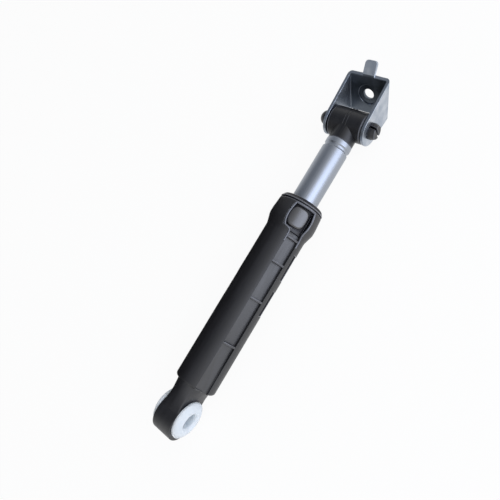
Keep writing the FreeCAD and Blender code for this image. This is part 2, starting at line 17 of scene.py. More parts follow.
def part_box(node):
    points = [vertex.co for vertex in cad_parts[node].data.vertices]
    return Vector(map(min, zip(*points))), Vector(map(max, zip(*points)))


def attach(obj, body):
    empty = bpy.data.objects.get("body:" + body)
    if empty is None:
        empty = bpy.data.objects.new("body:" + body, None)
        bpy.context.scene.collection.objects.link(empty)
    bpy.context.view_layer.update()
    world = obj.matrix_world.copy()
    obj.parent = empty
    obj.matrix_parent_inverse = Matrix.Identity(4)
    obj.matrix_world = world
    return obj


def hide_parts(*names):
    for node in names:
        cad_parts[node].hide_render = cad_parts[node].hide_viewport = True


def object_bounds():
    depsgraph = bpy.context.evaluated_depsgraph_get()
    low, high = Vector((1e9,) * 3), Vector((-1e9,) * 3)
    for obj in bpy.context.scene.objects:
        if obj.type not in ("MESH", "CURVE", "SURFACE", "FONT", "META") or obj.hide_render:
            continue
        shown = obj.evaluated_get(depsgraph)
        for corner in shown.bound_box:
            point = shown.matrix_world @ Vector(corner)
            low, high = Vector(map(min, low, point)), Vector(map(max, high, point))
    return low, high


MM = 0.001
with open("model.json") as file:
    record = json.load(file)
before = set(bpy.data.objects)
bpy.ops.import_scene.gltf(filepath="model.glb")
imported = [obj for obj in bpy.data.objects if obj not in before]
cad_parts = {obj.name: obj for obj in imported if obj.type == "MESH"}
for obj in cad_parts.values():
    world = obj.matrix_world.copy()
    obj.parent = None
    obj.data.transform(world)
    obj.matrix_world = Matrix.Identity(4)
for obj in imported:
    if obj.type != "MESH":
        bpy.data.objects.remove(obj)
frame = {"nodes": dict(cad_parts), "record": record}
cad_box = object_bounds()
scene = bpy.context.scene
print("CAD box in mm:", [round(value / MM, 1) for corner in cad_box for value in corner])

# %% [markdown]
# ## Camera
#
# The photo was taken from above the damper and a little to its front. Its place, turn and focal
# length were found by fitting the outlines of the rod and the body, so the camera is given as
# measured: where it stands, which way it looks, and which way is up in the picture. The focal length
# is in pixels of a 500 pixel wide picture, and the sensor's width turns it into millimetres.

# %% Camera
CAMERA_PLACE = Vector((86.842, -142.445, 262.046)) * MM
CAMERA_LOOKS = Vector((0.0814, 0.51712, -0.85203))
CAMERA_UP = Vector((0.85262, 0.40659, 0.32822))
FOCAL_PIXELS = 460.44
PICTURE_PIXELS = 500
SENSOR_WIDTH = 36.0

camera_data = bpy.data.cameras.new("photo_camera")
camera_data.sensor_width = SENSOR_WIDTH
camera_data.lens = FOCAL_PIXELS / PICTURE_PIXELS * SENSOR_WIDTH
camera_data.clip_start = 10 * MM
camera = bpy.data.objects.new("photo_camera", camera_data)
scene.collection.objects.link(camera)
ahead = CAMERA_LOOKS.normalized()
right = ahead.cross(CAMERA_UP).normalized()
turn = Matrix((right, right.cross(ahead), -ahead)).transposed()
camera.matrix_world = Matrix.Translation(CAMERA_PLACE) @ turn.to_4x4()
scene.camera = camera
scene.view_settings.view_transform = "Standard"
print("lens in mm:", round(camera_data.lens, 2))

# %% [markdown]
# ## Nodes and colours
#
# Every material below is a small tree of nodes. One function adds a node, sets its inputs and links
# it to what feeds it. Colours are written as sRGB hex, as a paint chart gives them, and turned into
# the linear values that the shaders work in.

# %% Helpers for nodes
def add_node(tree, kind, inputs=None, **settings):
    """Add a node; an input that is given a socket is linked, any other value is set."""
    node = tree.nodes.new(kind)
    for name, value in settings.items():
        setattr(node, name, value)
    for name, value in (inputs or {}).items():
        if isinstance(value, bpy.types.NodeSocket):
            tree.links.new(value, node.inputs[name])
        else:
            node.inputs[name].default_value = value
    return node


def linear(code):
    """A hex colour such as #1b1b1f as linear red, green, blue and alpha."""
    values = [int(code[start:start + 2], 16) / 255 for start in (1, 3, 5)]
    return [v / 12.92 if v <= 0.04045 else ((v + 0.055) / 1.055) ** 2.4 for v in values] + [1.0]


print("mid grey #808080 is linear", round(linear("#808080")[0], 3))

# %% [markdown]
# ## Floor, tent and lamp
#
# The damper lies on a plain pale floor in a white room. The camera should see the floor as white
# paper, so for camera, glossy and transmitted rays most of its colour is an even glow, and the rest is
# plain diffuse white that still takes a shadow. Round the damper stands a light tent that the camera
# doesn't see. It is white at the front and down to the horizon, and turns grey overhead and to the
# back: the bright rod needs that slow change to look round. One large soft lamp stands low at the
# front. Behind the housing stands a black card, as in a photo studio, which only reflections see: it
# keeps the far side of the plastic dark. So above the floor, reflections show the tent and the card
# and not the white room. Both were set by comparing the render with the photo.

# %% Floor and room
FLOOR_WIDTH = 6.0
FLOOR_GLOW = 0.93
PAPER = "#f4f4f4"
WHITE = "#ffffff"

floor_mesh = bpy.data.meshes.new("paper_floor")
half = FLOOR_WIDTH / 2
low = cad_box[0].z
corners = [(-half, -half, low), (half, -half, low), (half, half, low), (-half, half, low)]
floor_mesh.from_pydata(corners, [], [(0, 1, 2, 3)])
floor = bpy.data.objects.new("paper_floor", floor_mesh)
scene.collection.objects.link(floor)

paper = bpy.data.materials.new("matt white paper")
paper.use_nodes = True
tree = paper.node_tree
tree.nodes.clear()
rays = add_node(tree, "ShaderNodeLightPath")
seen = add_node(tree, "ShaderNodeMath",
                {0: rays.outputs["Is Camera Ray"], 1: rays.outputs["Is Glossy Ray"]}, operation="ADD")
seen = add_node(tree, "ShaderNodeMath", {0: seen.outputs[0], 1: rays.outputs["Is Transmission Ray"]},
                operation="ADD", use_clamp=True)
glow = add_node(tree, "ShaderNodeMath", {0: seen.outputs[0], 1: FLOOR_GLOW}, operation="MULTIPLY")
matt = add_node(tree, "ShaderNodeBsdfDiffuse", {"Color": linear(PAPER)})
white = add_node(tree, "ShaderNodeEmission", {"Color": linear(WHITE), "Strength": 1.0})
mixed = add_node(tree, "ShaderNodeMixShader",
                 {0: glow.outputs[0], 1: matt.outputs[0], 2: white.outputs[0]})
add_node(tree, "ShaderNodeOutputMaterial", {"Surface": mixed.outputs[0]})
floor_mesh.materials.append(paper)

room = bpy.data.worlds.new("white room")
room.use_nodes = True
scene.world = room
tree = room.node_tree
tree.nodes.clear()
backdrop = add_node(tree, "ShaderNodeBackground", {"Color": linear(WHITE), "Strength": 1.0})
add_node(tree, "ShaderNodeOutputWorld", {"Surface": backdrop.outputs[0]})
print("floor at z in mm:", round(low / MM, 2))

# %% Light tent
TENT_RADIUS = 2.9
TENT_ROUNDS = 4
TENT_DARK = "#6d7480"
DARKEST_WAY = (0.0, 0.515, 0.857)
DARK_FROM = 0.4
DARK_TO = 1.0

tent_mesh = bpy.data.meshes.new("light_tent")
work = bmesh.new()
bmesh.ops.create_icosphere(work, subdivisions=TENT_ROUNDS, radius=TENT_RADIUS)
work.to_mesh(tent_mesh)
work.free()
tent = bpy.data.objects.new("light_tent", tent_mesh)
tent.visible_camera = False
scene.collection.objects.link(tent)

cloth = bpy.data.materials.new("tent cloth, lit from outside")
cloth.use_nodes = True
tree = cloth.node_tree
tree.nodes.clear()
place = add_node(tree, "ShaderNodeTexCoord")
way = add_node(tree, "ShaderNodeVectorMath", {0: place.outputs["Object"]}, operation="NORMALIZE")
toward = add_node(tree, "ShaderNodeVectorMath", {0: way.outputs["Vector"], 1: DARKEST_WAY},
                  operation="DOT_PRODUCT")
shade = add_node(tree, "ShaderNodeMapRange",
                 {"Value": toward.outputs["Value"], "From Min": DARK_FROM, "From Max": DARK_TO})
tint = add_node(tree, "ShaderNodeMix",
                {0: shade.outputs[0], 6: linear(WHITE), 7: linear(TENT_DARK)}, data_type="RGBA")
shine = add_node(tree, "ShaderNodeEmission", {"Color": tint.outputs[2], "Strength": 1.0})
add_node(tree, "ShaderNodeOutputMaterial", {"Surface": shine.outputs[0]})
tent_mesh.materials.append(cloth)
print("tent radius in m:", TENT_RADIUS)

# %% Black card
CARD_START = -60 * MM
CARD_END = 165 * MM
CARD_BEHIND = 42 * MM
CARD_HEIGHT = 125 * MM
VELVET = "#0a0a0a"

card_mesh = bpy.data.meshes.new("black_card")
high = low + CARD_HEIGHT
card_corners = [(CARD_START, CARD_BEHIND, low), (CARD_END, CARD_BEHIND, low),
                (CARD_END, CARD_BEHIND, high), (CARD_START, CARD_BEHIND, high)]
card_mesh.from_pydata(card_corners, [], [(0, 1, 2, 3)])
card = bpy.data.objects.new("black_card", card_mesh)
card.visible_camera = False
card.visible_diffuse = False
card.visible_shadow = False
scene.collection.objects.link(card)
velvet = bpy.data.materials.new("black card, matt")
velvet.use_nodes = True
black = velvet.node_tree.nodes["Principled BSDF"].inputs
black["Base Color"].default_value = linear(VELVET)
black["Roughness"].default_value = 1.0
card_mesh.materials.append(velvet)
print("card height in mm:", round(CARD_HEIGHT / MM))

# %% Lamp
LAMP_AIM = Vector((120, 0, 0)) * MM
LAMP_PLACE = Vector((300, -640, 330)) * MM
LAMP_WIDTH = 0.45
LAMP_LENGTH = 0.7
LAMP_WATTS = 2.6
LAMP_COLOUR = "#dae5ff"

lamp_data = bpy.data.lights.new("front_lamp", "AREA")
lamp_data.shape = "RECTANGLE"
lamp_data.size = LAMP_WIDTH
lamp_data.size_y = LAMP_LENGTH
lamp_data.energy = LAMP_WATTS
lamp_data.color = linear(LAMP_COLOUR)[:3]
lamp = bpy.data.objects.new("front_lamp", lamp_data)
lamp.location = LAMP_PLACE
lamp.rotation_euler = (LAMP_AIM - LAMP_PLACE).to_track_quat("-Z", "Y").to_euler()
scene.collection.objects.link(lamp)
print("lamp power in W:", LAMP_WATTS)

# %% [markdown]
# ## Moulded black plastics
#
# The housing is taken to be glass-filled polyamide moulded in a spark-eroded tool: near black, matt,
# with a fine grain and faint lengthwise flow marks. The latch shines in the photo, so the cap gets the
# same plastic from a polished tool. The cross eye and the pin lie between the two. All of them share
# one recipe: a dark base colour that varies a little, roughness that the flow marks stretch along X,
# and a bump for the grain. Such grain is about 0.2 mm wide, too fine to show here, so it is drawn at
# 0.8 mm. Faces that carry the edge attribute get a paler colour, which is a painted highlight along the
# rounded edges, and a lower roughness. A dulled plastic also reads a second attribute, which takes its
# shine away. Without it the shine is one number for the whole piece, set on the shader's own socket.

# %% Black plastic
GRAIN = 0.8 * MM
FLOW_WIDTH = 2.5 * MM
FLOW_STRETCH = 0.12
FLOW_LOW = 0.3
FLOW_HIGH = 0.7
GRAIN_STRENGTH = 0.35
PLASTIC_IOR = 1.53
GLOSS_ROUGHNESS = 0.3
EDGE = "edge_highlight_paint"
# The paler edge tone is a painted highlight along the rounded edges.
EDGE_HIGHLIGHT_TONE = "#4f5159"
EDGE_ROUGHNESS = 0.25
DULL = "dull_finish"
DULL_ROUGHNESS = 0.55
DULL_SPECULAR = 0.35


def new_material(name):
    """An empty material with a shader, its output and object coordinates."""
    material = bpy.data.materials.new(name)
    material.use_nodes = True
    material.node_tree.nodes.clear()
    shader = add_node(material.node_tree, "ShaderNodeBsdfPrincipled")
    add_node(material.node_tree, "ShaderNodeOutputMaterial", {"Surface": shader.outputs[0]})
    place = add_node(material.node_tree, "ShaderNodeTexCoord").outputs["Object"]
    return material, material.node_tree, shader, place


def black_plastic(name, dark, light, smooth, rough, grain_height, specular, gloss=0.0, dulled=False):
    """Moulded black plastic between two tones and two roughnesses, with grain of a given height."""
    material, tree, shader, place = new_material(name)
    shader.inputs["Specular IOR Level"].default_value = specular
    shader.inputs["Coat Weight"].default_value = gloss
    shader.inputs["Coat Roughness"].default_value = GLOSS_ROUGHNESS
    shader.inputs["IOR"].default_value = PLASTIC_IOR
    stretched = add_node(tree, "ShaderNodeMapping",
                         {"Vector": place, "Scale": (FLOW_STRETCH, 1.0, 1.0)})
    flow = add_node(tree, "ShaderNodeTexNoise",
                    {"Vector": stretched.outputs[0], "Scale": 1 / FLOW_WIDTH, "Detail": 3.0})
    tone = add_node(tree, "ShaderNodeMix",
                    {0: flow.outputs[0], 6: linear(dark), 7: linear(light)}, data_type="RGBA")
    # Edge faces are mixed towards the paler edge tone: a painted highlight.
    edge = add_node(tree, "ShaderNodeAttribute", attribute_name=EDGE)
    painted_edge = add_node(tree, "ShaderNodeMix",
                      {0: edge.outputs["Fac"], 6: tone.outputs[2], 7: linear(EDGE_HIGHLIGHT_TONE)},
                      data_type="RGBA")
    tree.links.new(painted_edge.outputs[2], shader.inputs["Base Color"])
    sheen = add_node(tree, "ShaderNodeMapRange",
                     {"Value": flow.outputs[0], "From Min": FLOW_LOW, "From Max": FLOW_HIGH,
                      "To Min": smooth, "To Max": rough})
    finish = add_node(tree, "ShaderNodeMix",
                      {0: edge.outputs["Fac"], 2: sheen.outputs[0], 3: EDGE_ROUGHNESS},
                      data_type="FLOAT")
    if dulled:
        dull = add_node(tree, "ShaderNodeAttribute", attribute_name=DULL).outputs["Fac"]
        finish = add_node(tree, "ShaderNodeMix",
                          {0: dull, 2: finish.outputs[0], 3: DULL_ROUGHNESS}, data_type="FLOAT")
        shine = add_node(tree, "ShaderNodeMapRange",
                         {"Value": dull, "To Min": specular, "To Max": DULL_SPECULAR})
        tree.links.new(shine.outputs[0], shader.inputs["Specular IOR Level"])
    if dulled and gloss:
        lacquer = add_node(tree, "ShaderNodeMapRange", {"Value": dull, "To Min": gloss, "To Max": 0.0})
        tree.links.new(lacquer.outputs[0], shader.inputs["Coat Weight"])
    tree.links.new(finish.outputs[0], shader.inputs["Roughness"])
    speckle = add_node(tree, "ShaderNodeTexNoise", {"Vector": place, "Scale": 1 / GRAIN, "Detail": 2.0})
    bump = add_node(tree, "ShaderNodeBump",
                    {"Height": speckle.outputs[0], "Strength": GRAIN_STRENGTH, "Distance": grain_height})
    tree.links.new(bump.outputs[0], shader.inputs["Normal"])
    return material


housing_plastic = black_plastic(
    "glass-filled polyamide, spark-eroded grain", dark="#111114", light="#1d1d22",
    smooth=0.34, rough=0.48, grain_height=0.04 * MM, specular=1.0, dulled=True)
cap_plastic = black_plastic(
    "polyamide, polished mould", dark="#121217", light="#1c1c23",
    smooth=0.34, rough=0.42, grain_height=0.01 * MM, specular=1.0, gloss=0.7, dulled=True)
head_plastic = black_plastic(
    "polyamide, satin mould", dark="#111114", light="#1b1b20",
    smooth=0.34, rough=0.46, grain_height=0.03 * MM, specular=0.5)
# The beads' pale tone is a painted highlight along each bead.
bead_plastic = black_plastic(
    "polyamide, beads painted pale as highlights", dark="#54565e", light="#6c6f78",
    smooth=0.22, rough=0.30, grain_height=0.01 * MM, specular=0.7)
print("plastics:", housing_plastic.name, "|", cap_plastic.name, "|", head_plastic.name)

# %% [markdown]
# ## Acetal bush
#
# The two halves of the eye's bush are taken to be natural white acetal: slightly blue-white, waxy,
# moulded smooth. Its roughness wanders softly over a few millimetres, and light sinks a little way
# into it, which softens its shaded parts.

# %% Acetal
GLOW_DEPTH = 6.0 * MM
GLOW_SHARE = 0.9
ACETAL_IOR = 1.48
ACETAL_CLOUD = 6 * MM
ACETAL_TONES = ("#d2d9de", "#dde3e7")
WAX_SMOOTH = 0.32
WAX_ROUGH = 0.46

material, tree, shader, place = new_material("white acetal, moulded smooth")
bush_plastic = material
shader.inputs["IOR"].default_value = ACETAL_IOR
shader.inputs["Subsurface Weight"].default_value = GLOW_SHARE
shader.inputs["Subsurface Radius"].default_value = (1.0, 1.0, 1.0)
shader.inputs["Subsurface Scale"].default_value = GLOW_DEPTH
cloud = add_node(tree, "ShaderNodeTexNoise", {"Vector": place, "Scale": 1 / ACETAL_CLOUD, "Detail": 2.0})
tone = add_node(tree, "ShaderNodeMix",
                {0: cloud.outputs[0], 6: linear(ACETAL_TONES[0]), 7: linear(ACETAL_TONES[1])},
                data_type="RGBA")
tree.links.new(tone.outputs[2], shader.inputs["Base Color"])
wax = add_node(tree, "ShaderNodeMapRange",
               {"Value": cloud.outputs[0], "To Min": WAX_SMOOTH, "To Max": WAX_ROUGH})
tree.links.new(wax.outputs[0], shader.inputs["Roughness"])
print("bush:", bush_plastic.name)

# %% [markdown]
# ## Plated metals
#
# The rod looks like drawn steel tube with a bright plating: a soft mirror with very fine lengthwise
# lines left by the drawing. Such lines are about 0.05 mm wide, and they are drawn at 0.5 mm here. The
# bracket looks like pressed sheet with blue zinc plating: duller, with soft cloudy patches that lean to
# blue. The inside of its fold is dark in the photo, so the faces there carry an attribute that darkens
# them: painted shade in place of the shade and dark reflections inside the fold.

# %% Bright tube
LINE_WIDTH = 0.5 * MM
LINE_STRETCH = 0.02
CHROME_TONES = ("#959ba4", "#a7acb4")
CHROME_SMOOTH = 0.34
CHROME_ROUGH = 0.44

material, tree, shader, place = new_material("steel tube, bright plated")
rod_chrome = material
shader.inputs["Metallic"].default_value = 1.0
stretched = add_node(tree, "ShaderNodeMapping", {"Vector": place, "Scale": (LINE_STRETCH, 1.0, 1.0)})
lines = add_node(tree, "ShaderNodeTexNoise",
                 {"Vector": stretched.outputs[0], "Scale": 1 / LINE_WIDTH, "Detail": 2.0})
tone = add_node(tree, "ShaderNodeMix",
                {0: lines.outputs[0], 6: linear(CHROME_TONES[0]), 7: linear(CHROME_TONES[1])},
                data_type="RGBA")
tree.links.new(tone.outputs[2], shader.inputs["Base Color"])
polish = add_node(tree, "ShaderNodeMapRange",
                  {"Value": lines.outputs[0], "To Min": CHROME_SMOOTH, "To Max": CHROME_ROUGH})
tree.links.new(polish.outputs[0], shader.inputs["Roughness"])
print("rod:", rod_chrome.name)

# %% Zinc plate
CLOUD_WIDTH = 7 * MM
CLOUD_LOW = 0.35
CLOUD_HIGH = 0.65
ZINC_GRAIN = 0.9 * MM
ZINC_GRAIN_HEIGHT = 0.02 * MM
ZINC_GRAIN_STRENGTH = 0.25
ZINC_TONES = ("#a3acb8", "#c0c6cf")
ZINC_ROUGH = 0.42
ZINC_SMOOTH = 0.30
# The fold's darker tone is painted shade inside the fold of the bracket.
FOLD = "fold_shade_paint"
FOLD_SHADE_TONE = "#5f666f"

material, tree, shader, place = new_material("sheet steel, blue zinc plated")
bracket_zinc = material
shader.inputs["Metallic"].default_value = 1.0
cloud = add_node(tree, "ShaderNodeTexNoise", {"Vector": place, "Scale": 1 / CLOUD_WIDTH, "Detail": 4.0})
patch = add_node(tree, "ShaderNodeMapRange",
                 {"Value": cloud.outputs[0], "From Min": CLOUD_LOW, "From Max": CLOUD_HIGH})
tone = add_node(tree, "ShaderNodeMix",
                {0: patch.outputs[0], 6: linear(ZINC_TONES[0]), 7: linear(ZINC_TONES[1])},
                data_type="RGBA")
# Faces with the fold attribute are mixed towards the darker tone: painted shade.
inside = add_node(tree, "ShaderNodeAttribute", attribute_name=FOLD)
shaded_fold = add_node(tree, "ShaderNodeMix",
                {0: inside.outputs["Fac"], 6: tone.outputs[2], 7: linear(FOLD_SHADE_TONE)}, data_type="RGBA")
tree.links.new(shaded_fold.outputs[2], shader.inputs["Base Color"])
dull = add_node(tree, "ShaderNodeMapRange",
                {"Value": patch.outputs[0], "To Min": ZINC_ROUGH, "To Max": ZINC_SMOOTH})
tree.links.new(dull.outputs[0], shader.inputs["Roughness"])
crystals = add_node(tree, "ShaderNodeTexNoise", {"Vector": place, "Scale": 1 / ZINC_GRAIN, "Detail": 2.0})
bump = add_node(tree, "ShaderNodeBump",
                {"Height": crystals.outputs[0], "Strength": ZINC_GRAIN_STRENGTH,
                 "Distance": ZINC_GRAIN_HEIGHT})
tree.links.new(bump.outputs[0], shader.inputs["Normal"])
print("bracket:", bracket_zinc.name)

# %% [markdown]
# ## Hidden soft pieces
#
# The photo doesn't show these, so their materials are guesses: greased open foam for the friction
# lining, black rubber for the pivot's sleeve and smooth plastic for the two rings. All get a plain
# grained look that holds up in a section view.

# %% Foam and rubber
SOFT_STRENGTH = 0.5


def grained(name, dark, light, width, roughness, depth):
    """A dull material with a two-tone grain of a given width."""
    material, tree, shader, place = new_material(name)
    shader.inputs["Roughness"].default_value = roughness
    grain = add_node(tree, "ShaderNodeTexNoise", {"Vector": place, "Scale": 1 / width, "Detail": 3.0})
    tone = add_node(tree, "ShaderNodeMix",
                    {0: grain.outputs[0], 6: linear(dark), 7: linear(light)}, data_type="RGBA")
    tree.links.new(tone.outputs[2], shader.inputs["Base Color"])
    bump = add_node(tree, "ShaderNodeBump",
                    {"Height": grain.outputs[0], "Strength": SOFT_STRENGTH, "Distance": depth})
    tree.links.new(bump.outputs[0], shader.inputs["Normal"])
    return material


lining_foam = grained("greased open foam", "#17171a", "#26262a",
                      width=0.9 * MM, roughness=0.6, depth=0.1 * MM)
pivot_rubber = grained("moulded rubber", "#111113", "#1c1c1f",
                       width=0.7 * MM, roughness=0.7, depth=0.03 * MM)
ring_plastic = grained("moulded black plastic, smooth", "#17171a", "#222226",
                       width=1.5 * MM, roughness=0.4, depth=0.01 * MM)

FINISHES = {
    "housing": housing_plastic, "lower_bush_left": bush_plastic, "lower_bush_right": bush_plastic,
    "support_ring": ring_plastic, "friction_lining": lining_foam, "end_cap": cap_plastic,
    "guide_ring": ring_plastic, "rod_tube": rod_chrome, "rod_head": head_plastic,
    "pivot_bush": pivot_rubber, "bracket": bracket_zinc, "pivot_pin": head_plastic,
}
for node, finish in FINISHES.items():
    data = frame["nodes"][node].data
    data.materials.clear()
    data.materials.append(finish)
print("finished nodes:", len(FINISHES))

# %% [markdown]
# ## Rounded edges
#
# No moulded or pressed edge is perfectly sharp, and it is the small rounding that catches light along
# the rails, ribs and ears. A copy of each visible solid is merged, its flat faces are joined up, and
# a bevel rounds the outward edges that turn by more than a set angle. Inward edges stay sharp. The
# bevel's faces carry the edge attribute, a painted highlight that fades out towards the lower eye.
# Weighted normals keep the flat faces flat. The copy stands for the CAD node, which keeps its place in
# the motion.

# %% Rounded copies
MERGE = 0.002 * MM
NOTHING = 0.01 * MM
FLAT_ANGLE = math.radians(0.5)
EDGE_ANGLE = math.radians(35)
EDGE_SEGMENTS = 2
# The painted edge highlight fades in over this stretch from the lower eye.
HIGHLIGHT_START = 25 * MM
HIGHLIGHT_FADE = 50 * MM
BODY_OF = {node: body for body, nodes in frame["record"]["behaviour"]["bodies"].items() for node in nodes}


def plain_mesh(piece, name):
    """Turn an object with modifiers into one with the finished mesh alone."""
    graph = bpy.context.evaluated_depsgraph_get()
    mesh = bpy.data.meshes.new_from_object(piece.evaluated_get(graph), depsgraph=graph)
    mesh.name = name
    piece.modifiers.clear()
    piece.data = mesh
    return mesh


def rounded_copy(node, name, edge, reshape=None):
    """A copy of a CAD node with its outward edges rounded to a radius, standing for that node."""
    cells = bmesh.new()
    cells.from_mesh(frame["nodes"][node].data)
    bmesh.ops.remove_doubles(cells, verts=cells.verts, dist=MERGE)
    bmesh.ops.dissolve_limit(cells, angle_limit=FLAT_ANGLE, verts=cells.verts, edges=cells.edges)
    for face in cells.faces:
        face.smooth = True
    if reshape:
        for vert in cells.verts:
            vert.co = reshape(vert.co)
    weight = cells.edges.layers.float.new("bevel_weight_edge")
    for side in cells.edges:
        bend = side.calc_face_angle_signed(0.0)
        side[weight] = 1.0 if bend > EDGE_ANGLE else 0.0
        side.smooth = bend > -EDGE_ANGLE
    mesh = bpy.data.meshes.new(name)
    cells.to_mesh(mesh)
    cells.free()
    if "custom_normal" in mesh.attributes:
        mesh.attributes.remove(mesh.attributes["custom_normal"])
    mesh.materials.append(FINISHES[node])
    mesh.materials.append(FINISHES[node])
    piece = bpy.data.objects.new(name, mesh)
    scene.collection.objects.link(piece)
    bevel = piece.modifiers.new("edge", "BEVEL")
    bevel.width = edge
    bevel.segments = EDGE_SEGMENTS
    bevel.limit_method = "WEIGHT"
    bevel.miter_outer = "MITER_ARC"
    bevel.use_clamp_overlap = False
    bevel.material = 1
    weights = piece.modifiers.new("flat faces", "WEIGHTED_NORMAL")
    weights.keep_sharp = True
    mesh = plain_mesh(piece, name)
    # The bevel's faces get the edge attribute, a painted highlight that fades out towards the lower eye.
    painted_edge = mesh.attributes.new(EDGE, "FLOAT", "FACE")
    for face in mesh.polygons:
        highlight_share = min(max((face.center.x - HIGHLIGHT_START) / HIGHLIGHT_FADE, 0.0), 1.0)
        painted_edge.data[face.index].value = highlight_share * face.material_index
        face.material_index = 0
    mesh.materials.pop()
    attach(piece, BODY_OF[node])
    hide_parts(node)
    print(name, "faces:", len(piece.data.polygons))
    return piece


# %% [markdown]
# The latch buttons are round in the solids. The photo shows a pillow, so the points of each button
# are pushed out from its middle, along the cap's own roundness, into a rounded square.

# %% Rounded pieces
MOULDED_EDGE = 0.4 * MM
FINE_EDGE = 0.25 * MM
BUTTON_X = 142.9 * MM
BUTTON_TURN = math.radians(35)
BUTTON_REACH = 6.6 * MM
BUTTON_ROOT = 13.0 * MM
BUTTON_LONG = 1.03
BUTTON_WIDE = 0.95
SQUARENESS = 3.0


def squared_button(point):
    """Move a point of a round latch button so that the button becomes a rounded square; leave others."""
    radius = point.yz.length
    for turn in (BUTTON_TURN, BUTTON_TURN + math.pi):
        up = Vector((0.0, -math.sin(turn), math.cos(turn)))
        beside = Vector((0.0, -math.cos(turn), -math.sin(turn)))
        away = Vector((point.x - BUTTON_X, point.dot(beside)))
        if point.dot(up) > 0 and radius > BUTTON_ROOT and NOTHING < away.length < BUTTON_REACH:
            way = away.normalized()
            away *= (abs(way.x) ** SQUARENESS + abs(way.y) ** SQUARENESS) ** (-1 / SQUARENESS)
            across = away.y * BUTTON_WIDE
            lift = math.sqrt(radius ** 2 - across ** 2)
            return Vector((BUTTON_X + away.x * BUTTON_LONG, 0.0, 0.0)) + beside * across + up * lift
    return point


housing_shell = rounded_copy("housing", "housing_shell", MOULDED_EDGE)
cap_and_latch = rounded_copy("end_cap", "cap_and_latch", FINE_EDGE, squared_button)
rounded_copy("rod_head", "cross_eye", MOULDED_EDGE)
rounded_copy("pivot_pin", "push_in_pin", FINE_EDGE)
folded_bracket = rounded_copy("bracket", "folded_bracket", FINE_EDGE)

# %% [markdown]
# ## Dull faces and painted shade
#
# Faces of one piece differ in the photo. The housing's skin looks duller than the floors and ribs in
# its rows of pockets, and the cap's skirt and flange duller than its button. The inner face of the
# bracket's web is darker than its ears, and its darker colour is painted shade; the web's hole and the
# cut edges of the sheet are darkened with it. These finishes and this shade were chosen to match the
# photo's light and shade, and the real finishes aren't known. Each rule below finds such faces by where
# they lie and which way they face, and writes the attribute that the material reads.

# %% Dull skin round the pockets
POCKET_TURN = math.radians(54.5)
POCKET_HALF_WIDTH = 4.6 * MM
POCKETS_START = 20.0 * MM
POCKETS_END = 134.0 * MM
FLAT = 0.8
SKIN_DULL = 0.45

facing = Vector((0.0, -math.sin(POCKET_TURN), math.cos(POCKET_TURN)))
beside = Vector((0.0, -math.cos(POCKET_TURN), -math.sin(POCKET_TURN)))
painted_edge = housing_shell.data.attributes[EDGE].data
skin = housing_shell.data.attributes.new(DULL, "FLOAT", "FACE")
satin = 0
for face in housing_shell.data.polygons:
    flat = abs(face.normal.dot(facing)) > FLAT
    in_row = abs(face.center.dot(beside)) < POCKET_HALF_WIDTH
    if flat and in_row and POCKETS_START < face.center.x < POCKETS_END:
        satin += 1
    else:
        skin.data[face.index].value = SKIN_DULL * (1 - painted_edge[face.index].value)
print("satin faces in the rows of pockets:", satin)

# %% Dull skirt and flange of the cap
SKIRT_RADIUS = 13.3 * MM
SKIRT_END = 151.5 * MM
FLANGE_START = 151.9 * MM

painted_edge = cap_and_latch.data.attributes[EDGE].data
matt_faces = cap_and_latch.data.attributes.new(DULL, "FLOAT", "FACE")
for face in cap_and_latch.data.polygons:
    if face.center.x < SKIRT_END and face.center.yz.length < SKIRT_RADIUS:
        matt_faces.data[face.index].value = 1.0
    elif face.center.x > FLANGE_START:
        matt_faces.data[face.index].value = 1 - painted_edge[face.index].value
print("dull faces of the cap:", sum(item.value > 0.5 for item in matt_faces.data))

# %% Painted shade on the bracket
WEB_TILT = math.radians(22.5)
WEB_NORMAL = Vector((math.cos(WEB_TILT), 0.0, -math.sin(WEB_TILT)))
WEB_MIDDLE = Vector((243.5, 0.0, 0.0)) * MM
WEB_REACH = 4.0 * MM
HOLE_REACH = 4.3 * MM
SHEARED = 0.5
SHEARED_DULL = 0.42
TAB_START = 13.0 * MM

fold = folded_bracket.data.attributes.new(FOLD, "FLOAT", "FACE")
for face in folded_bracket.data.polygons:
    off = face.center - WEB_MIDDLE
    depth = off.dot(WEB_NORMAL)
    in_hole = (off - WEB_NORMAL * depth).length < HOLE_REACH
    across = face.normal.dot(WEB_NORMAL)
    on_web = abs(depth) < WEB_REACH and across < -SHEARED
    if off.z > TAB_START or across > SHEARED:
        continue
    # The inner face and the hole get the full darker tone, painted shade; the cut edges are darkened part
    # way.
    if in_hole or on_web:
        fold.data[face.index].value = 1.0
    elif abs(face.normal.y) < SHEARED:
        fold.data[face.index].value = SHEARED_DULL
print("dull faces:", sum(item.value > 0 for item in fold.data))

# %% [markdown]
# ## Turned pieces
#
# The rod and the two halves of the bush are round, so each is one outline spun about its axis. A
# geometry tree does the spinning: the outline becomes a curve, its corners are filleted, and it is
# swept round a circle. The outline is drawn as (radius, along) in the frame's own sizes.

# %% Geometry trees
PATH_RADIUS = 10 * MM
FILLET_STEPS = 4
ROUND_STEPS = 96
BEAD_STEPS = 10


def geometry_tree(name, inputs):
    """A geometry tree with named inputs; gives the tree and the sockets of its inputs."""
    tree = bpy.data.node_groups.new(name, "GeometryNodeTree")
    tree.interface.new_socket("Geometry", in_out="INPUT", socket_type="NodeSocketGeometry")
    for label, kind in inputs.items():
        tree.interface.new_socket(label, in_out="INPUT", socket_type=kind)
    tree.interface.new_socket("Geometry", in_out="OUTPUT", socket_type="NodeSocketGeometry")
    return tree, add_node(tree, "NodeGroupInput").outputs


def end_tree(tree, geometry, material):
    """Finish a tree: real geometry, smooth shading and a material."""
    real = add_node(tree, "GeometryNodeRealizeInstances", {"Geometry": geometry})
    smooth = add_node(tree, "GeometryNodeSetShadeSmooth", {"Geometry": real.outputs[0]})
    dressed = add_node(tree, "GeometryNodeSetMaterial",
                       {"Geometry": smooth.outputs[0], "Material": material})
    add_node(tree, "NodeGroupOutput", {"Geometry": dressed.outputs[0]})


